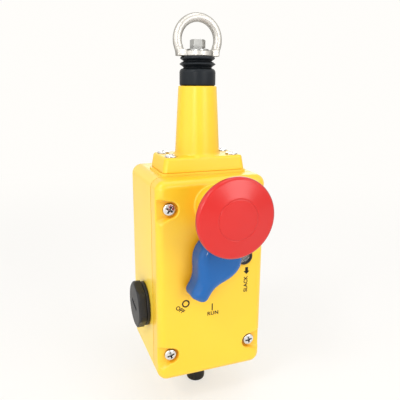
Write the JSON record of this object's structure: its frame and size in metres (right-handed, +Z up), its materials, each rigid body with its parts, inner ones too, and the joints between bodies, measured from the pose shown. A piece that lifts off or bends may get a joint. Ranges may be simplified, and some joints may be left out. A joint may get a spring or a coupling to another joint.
{
  "type": "rope pull safety switch",
  "caption": "Rope pull safety switch: yellow box housing, sprung pull shaft with rope eye and rubber boot, red mushroom stop button, blue reset knob and conduit entries.",
  "frame": {"origin": "centre of the four rear fixing holes, on the back face", "axes": "+X right seen from the front, +Y out of the back face towards the wall, +Z up along the pull shaft"},
  "size_m": [0.1074, 0.1255, 0.31],
  "materials": {
    "yellow_casting": "gloss powder coat on die-cast aluminium",
    "black_rubber": "matte",
    "plated_steel": "zinc plated",
    "stainless": "satin",
    "brass": "satin",
    "pale_plastic": "moulded, self lubricating",
    "grey_plastic": "moulded, matte",
    "green_plastic": "moulded, matte",
    "clear_plastic": "clear",
    "black_plastic": "moulded, slight sheen",
    "red_plastic": "satin",
    "blue_plastic": "gloss"
  },
  "bodies": {
    "root": {"housing": "yellow_casting", "cover": "yellow_casting", "cover_gasket": "black_rubber", "cover_screws": "plated_steel", "head": "yellow_casting", "head_gasket": "black_rubber", "head_screws": "plated_steel", "boot": "black_rubber", "top_bush": "brass", "shaft_seal": "black_rubber", "lower_bush": "brass", "main_spring": "stainless", "spring_seat": "plated_steel", "chassis_plate": "plated_steel", "chassis_screws": "plated_steel", "guide_block": "grey_plastic", "block_screws": "plated_steel", "latch_plate": "plated_steel", "latch_plate_screws": "plated_steel", "trip_pin": "stainless", "trip_spring": "stainless", "slide_studs": "stainless", "contact_block_left": "green_plastic", "contact_block_right": "green_plastic", "contact_lids": "clear_plastic", "contact_strips": "brass", "terminal_screws": "plated_steel", "earth_screw": "brass", "window_lens": "clear_plastic", "window_ring": "black_plastic", "estop_collar": "black_plastic", "estop_nut": "black_plastic", "estop_seal": "black_rubber", "estop_spring": "stainless", "knob_bush": "brass", "side_plugs": "black_plastic", "entry_seals": "black_rubber", "connector": "black_plastic", "dust_cap": "black_plastic", "connector_pins": "brass"},
    "puller": {"eye_ring": "stainless", "eye_bolt": "plated_steel", "pull_shaft": "stainless", "spring_collar": "plated_steel", "collar_clip": "stainless", "cam_slider": "pale_plastic", "slider_pin": "stainless", "indicator_flag": "grey_plastic"},
    "estop": {"estop_cap": "red_plastic", "estop_stem": "stainless", "estop_clip": "stainless"},
    "knob": {"reset_knob": "blue_plastic", "knob_shaft": "stainless", "knob_screw": "plated_steel"},
    "reset_slide_body": {"reset_slide": "brass"},
    "trip_lever_body": {"trip_lever": "plated_steel"},
    "slack_contact": {"slack_plunger": "pale_plastic", "slack_bridge": "brass"},
    "pull_contact": {"pull_plunger": "pale_plastic", "pull_bridge": "brass"}
  },
  "joints": [
    {"name": "shaft_pull", "type": "slide", "parent": "root", "child": "puller", "axis": [0, 0, 1], "range_m": [0, 0.012], "stiffness_N_per_m": 5000, "springref_m": -0.004, "deforming": ["main_spring", "boot"]},
    {"name": "estop_press", "type": "slide", "parent": "root", "child": "estop", "axis": [0, 1, 0], "range_m": [0, 0.005], "stiffness_N_per_m": 800, "springref_m": -0.003, "deforming": ["estop_spring"]},
    {"name": "knob_turn", "type": "hinge", "parent": "root", "child": "knob", "pos_m": [0, -0.0855, 0.023], "axis": [0, -1, 0], "range_deg": [0, 30]},
    {"name": "lever_tilt", "type": "hinge", "parent": "root", "child": "trip_lever_body", "pos_m": [0, -0.06, 0.044], "axis": [-1, 0, 0], "range_deg": [0, 18]},
    {"name": "slide_shift", "type": "slide", "parent": "root", "child": "reset_slide_body", "axis": [-1, 0, 0], "range_m": [0, 0.0052]},
    {"name": "slack_move", "type": "slide", "parent": "root", "child": "slack_contact", "axis": [1, 0, 0], "range_m": [0, 0.003]},
    {"name": "pull_move", "type": "slide", "parent": "root", "child": "pull_contact", "axis": [1, 0, 0], "range_m": [0, 0.003]}
  ],
  "couplings": [
    {"joint": "lever_tilt", "follows": "estop_press", "rad_per_m": 61.1},
    {"joint": "slide_shift", "follows": "knob_turn", "m_per_rad": 0.009886},
    {"joint": "slack_move", "follows": "shaft_pull", "ratio": 0.25},
    {"joint": "pull_move", "follows": "shaft_pull", "ratio": 0.25}
  ]
}
